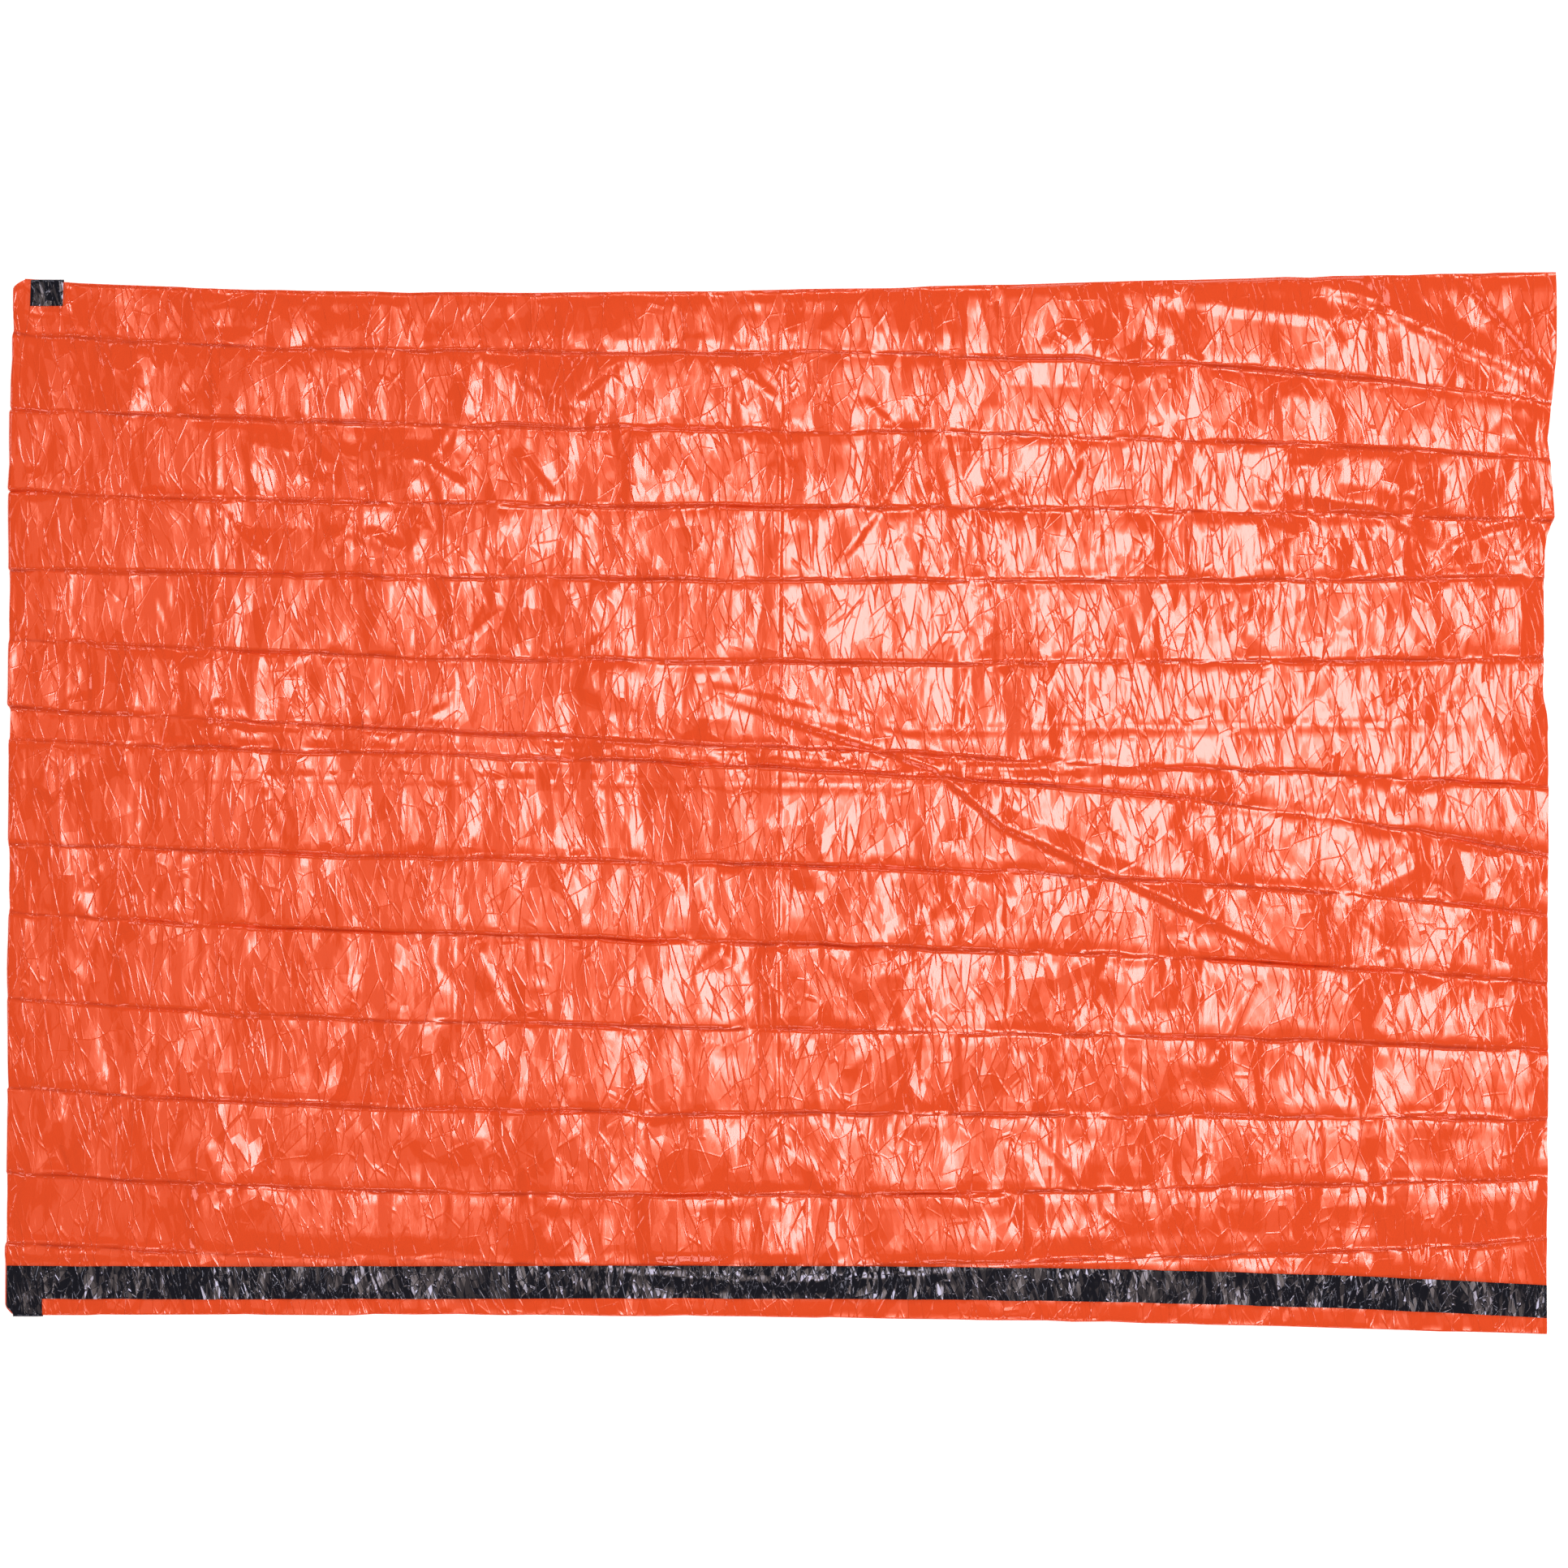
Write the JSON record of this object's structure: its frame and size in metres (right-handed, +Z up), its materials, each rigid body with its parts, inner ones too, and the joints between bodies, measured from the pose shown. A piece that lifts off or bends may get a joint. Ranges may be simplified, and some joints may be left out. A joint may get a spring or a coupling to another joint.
{
  "type": "bivy sack",
  "caption": "Flat emergency bivy sack of thin reflective film, taped along one side and across the foot, open at the mouth, folding in half across its middle.",
  "frame": {"origin": "on the ground under the middle of the sack", "axes": "+X from the closed foot to the open mouth, +Y towards the plainly folded side edge, -Y towards the taped side edge, +Z up"},
  "size_m": [2.1, 1.4306, 0.0178],
  "materials": {
    "film": "glossy crinkled orange polyethylene film",
    "film_inside": "aluminised inner face of the film",
    "tape": "glossy black adhesive tape"
  },
  "bodies": {
    "foot_half": {"foot_wall": "film", "foot_hem": "film", "foot_tape": "tape", "front_panel_foot": "film", "back_panel_foot": "film", "folded_edge_foot": "film", "wrapped_edge_foot": "film", "overlap_flap_foot": "film", "seam_tape_foot": "tape"},
    "mouth_half": {"front_panel_mouth": "film", "back_panel_mouth": "film", "folded_edge_mouth": "film", "wrapped_edge_mouth": "film", "overlap_flap_mouth": "film", "seam_tape_mouth": "tape"}
  },
  "joints": [
    {"name": "centre_fold", "type": "hinge", "parent": "foot_half", "child": "mouth_half", "pos_m": [0, 0, 0.0208], "axis": [0, -1, 0], "range_deg": [0, 180]}
  ]
}
